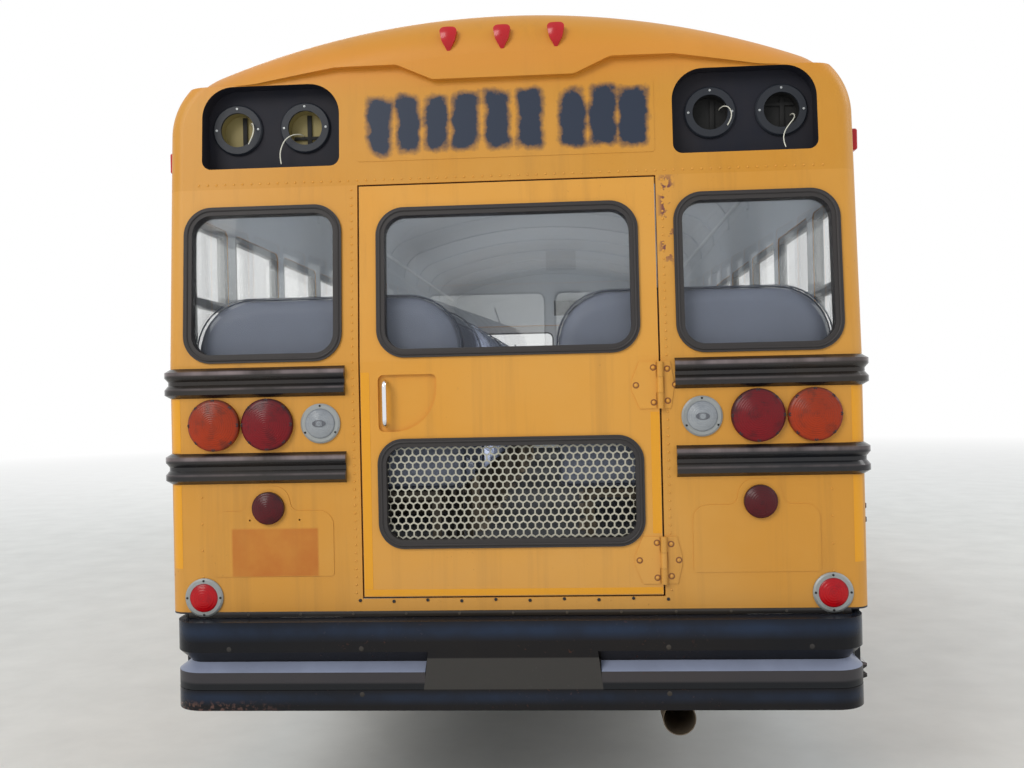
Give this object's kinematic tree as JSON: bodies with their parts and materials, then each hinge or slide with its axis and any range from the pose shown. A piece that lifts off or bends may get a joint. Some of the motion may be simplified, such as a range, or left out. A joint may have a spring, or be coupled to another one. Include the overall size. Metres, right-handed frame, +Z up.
{
  "type": "school bus",
  "caption": "Front-engined school bus with a rear emergency door, tilting hood, split entry door, steering, turning wheels and folding stop arm.",
  "frame": {"origin": "on the ground below the middle of the bus's box", "axes": "+Z up, +Y towards the front, +X towards the entry door side"},
  "size_m": [3.14, 10.56, 3.07],
  "materials": {
    "body_yellow": "aged gloss school-bus yellow, dusty",
    "black_paint": "black gloss paint",
    "chassis_black": "black chassis paint, dusty",
    "inner_panel": "grey-green interior enamel",
    "tyre": "worn rubber",
    "rim": "off-white wheel paint",
    "glass": "clear, dusty",
    "rubber": "black window rubber",
    "sash": "dark anodised sash",
    "lens_red": "red lens",
    "lens_amber": "amber lens",
    "lens_clear": "clear lens",
    "bezel": "grey plastic",
    "socket": "black painted ring",
    "vinyl": "blue-grey seat vinyl",
    "seat_tube": "dark tube",
    "floor": "ribbed rubber floor",
    "steel": "worn steel",
    "cast": "cast iron, dusty",
    "mesh_guard": "light grey perforated sheet",
    "chrome": "worn chrome",
    "dash": "black moulded plastic",
    "exhaust_steel": "dull rusty pipe",
    "stop_red": "red enamel",
    "wire": "aged white wire insulation",
    "lamp_glass": "headlamp lens"
  },
  "bodies": {
    "root": {"chassis_frame": "chassis_black", "front_axle": "chassis_black", "rear_axle": "chassis_black", "leaf_springs": "chassis_black", "drive_shaft": "chassis_black", "engine_block": "cast", "radiator": "chassis_black", "fuel_tank": "chassis_black", "exhaust": "exhaust_steel", "floor": "floor", "left_wall": "body_yellow", "right_wall": "body_yellow", "rear_wall": "body_yellow", "front_wall": "body_yellow", "roof": "body_yellow", "rear_cap": "body_yellow", "front_cap": "body_yellow", "window_sashes": "sash", "body_glass": "glass", "body_gaskets": "rubber", "rub_rails": "black_paint", "rear_bumper": "black_paint", "front_bumper": "black_paint", "amber_lamps": "lens_amber", "marker_lamps": "lens_red", "red_lamps": "lens_red", "clear_lamps": "lens_clear", "lamp_bezels": "bezel", "lamp_sockets": "socket", "lamp_wires": "wire", "bench_seats": "vinyl", "seat_frames": "seat_tube", "driver_seat": "vinyl", "dashboard": "dash", "steering_wheel": "dash", "mirrors": "black_paint"},
    "hood": {"hood": "body_yellow", "grille": "black_paint", "headlamps": "lamp_glass"},
    "knuckle_left": {"knuckle_left": "chassis_black"},
    "knuckle_right": {"knuckle_right": "chassis_black"},
    "tie_rod": {"tie_rod": "chassis_black"},
    "wheel_front_left": {"tyre_front_left": "tyre", "rim_front_left": "rim"},
    "wheel_front_right": {"tyre_front_right": "tyre", "rim_front_right": "rim"},
    "wheels_rear_left": {"tyres_rear_left": "tyre", "rims_rear_left": "rim"},
    "wheels_rear_right": {"tyres_rear_right": "tyre", "rims_rear_right": "rim"},
    "rear_door": {"rear_door": "body_yellow", "rear_door_glass": "glass", "rear_door_gaskets": "rubber", "rear_door_guard": "mesh_guard", "rear_door_handle": "chrome"},
    "entry_leaf_front": {"entry_leaf_front": "body_yellow", "entry_glass_front": "glass"},
    "entry_leaf_rear": {"entry_leaf_rear": "body_yellow", "entry_glass_rear": "glass"},
    "stop_arm": {"stop_arm": "stop_red"}
  },
  "joints": [
    {"name": "steer_left", "type": "hinge", "parent": "root", "child": "knuckle_left", "pos_m": [-0.85, 4.23, 0.527], "axis": [0, 0, 1], "range_deg": [-38, 38]},
    {"name": "steer_right", "type": "hinge", "parent": "root", "child": "knuckle_right", "pos_m": [0.85, 4.23, 0.527], "axis": [0, 0, 1], "range_deg": [-38, 38]},
    {"name": "tie_rod_turn", "type": "hinge", "parent": "knuckle_left", "child": "tie_rod", "pos_m": [-0.85, 4.02, 0.437], "axis": [0, 0, 1], "range_deg": [-38, 38]},
    {"name": "front_left_spin", "type": "hinge", "parent": "knuckle_left", "child": "wheel_front_left", "pos_m": [-1.01, 4.23, 0.527], "axis": [1, 0, 0], "continuous": true},
    {"name": "front_right_spin", "type": "hinge", "parent": "knuckle_right", "child": "wheel_front_right", "pos_m": [1.01, 4.23, 0.527], "axis": [1, 0, 0], "continuous": true},
    {"name": "rear_left_spin", "type": "hinge", "parent": "root", "child": "wheels_rear_left", "pos_m": [-0.9, -2.22, 0.527], "axis": [1, 0, 0], "continuous": true},
    {"name": "rear_right_spin", "type": "hinge", "parent": "root", "child": "wheels_rear_right", "pos_m": [0.9, -2.22, 0.527], "axis": [1, 0, 0], "continuous": true},
    {"name": "hood_tilt", "type": "hinge", "parent": "root", "child": "hood", "pos_m": [0, 5.085, 0.83], "axis": [-1, 0, 0], "range_deg": [0, 60]},
    {"name": "rear_door_swing", "type": "hinge", "parent": "root", "child": "rear_door", "pos_m": [0.523, -5.211, 1.7], "axis": [0, 0, 1], "range_deg": [0, 110]},
    {"name": "entry_front_swing", "type": "hinge", "parent": "root", "child": "entry_leaf_front", "pos_m": [1.23, 3.227, 1.37], "axis": [0, 0, 1], "range_deg": [0, 88]},
    {"name": "entry_rear_swing", "type": "hinge", "parent": "root", "child": "entry_leaf_rear", "pos_m": [1.23, 2.573, 1.37], "axis": [0, 0, 1], "range_deg": [-88, 0]},
    {"name": "stop_arm_swing", "type": "hinge", "parent": "root", "child": "stop_arm", "pos_m": [-1.264, 2.5, 1.592], "axis": [0, 0, -1], "range_deg": [0, 90]}
  ],
  "couplings": [
    {"joint": "steer_right", "follows": "steer_left", "ratio": 1},
    {"joint": "tie_rod_turn", "follows": "steer_left", "ratio": -1},
    {"joint": "entry_rear_swing", "follows": "entry_front_swing", "ratio": -1}
  ]
}
